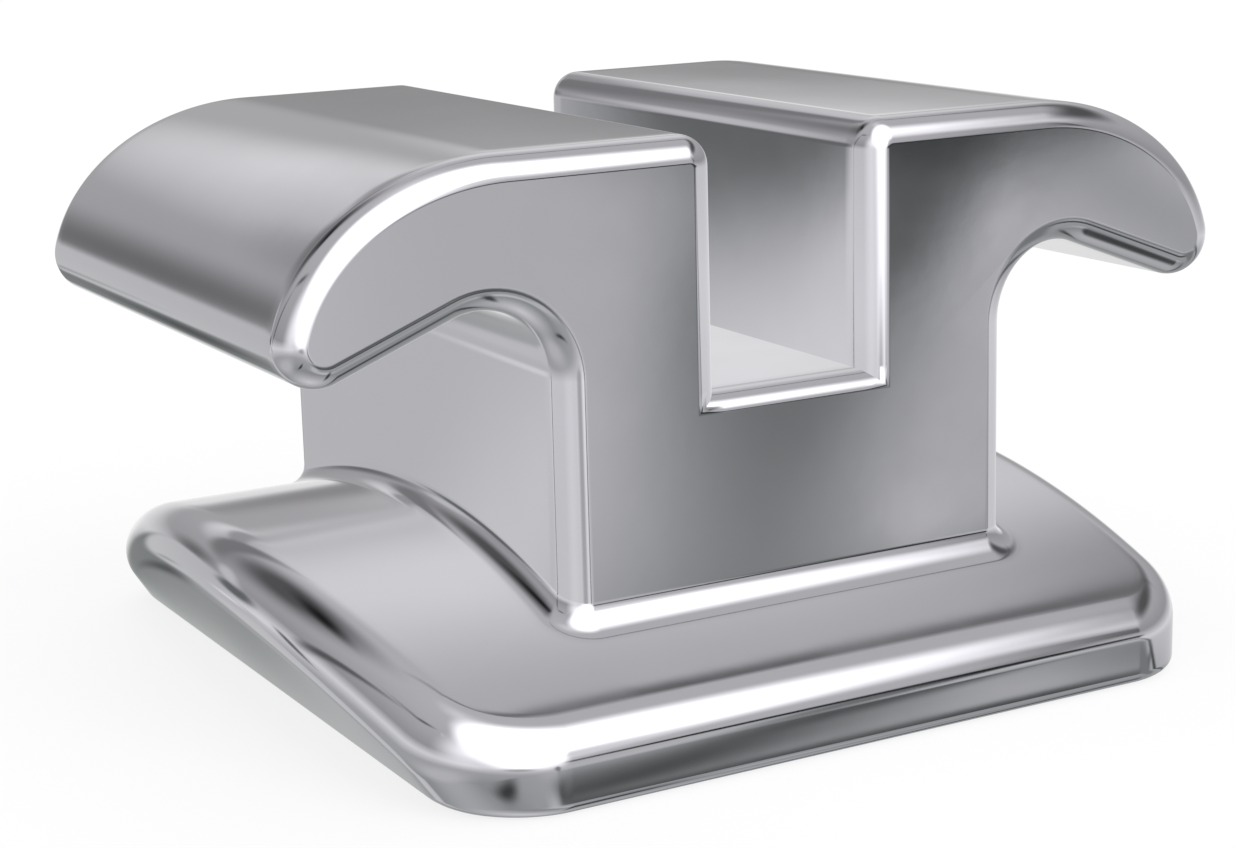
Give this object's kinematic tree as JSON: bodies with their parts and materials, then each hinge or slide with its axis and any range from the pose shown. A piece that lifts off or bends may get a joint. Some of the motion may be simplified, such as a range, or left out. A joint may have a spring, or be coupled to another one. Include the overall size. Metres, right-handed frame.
{
  "type": "orthodontic bracket",
  "caption": "One-piece tooth bracket with a rectangular archwire slot, curved tie wings to each side of it and a crowned bonding base.",
  "frame": {"origin": "middle of the body in plan, on the plane of the underside that is bonded to the tooth", "axes": "+X across the archwire slot towards one pair of tie wings, +Y along the slot, +Z away from the tooth, out of the slot's mouth"},
  "size_m": [0.0036, 0.003, 0.0019],
  "materials": {
    "bracket_steel": "tumbled and polished stainless steel"
  },
  "bodies": {
    "root": {"bracket_body": "bracket_steel"}
  },
  "joints": []
}
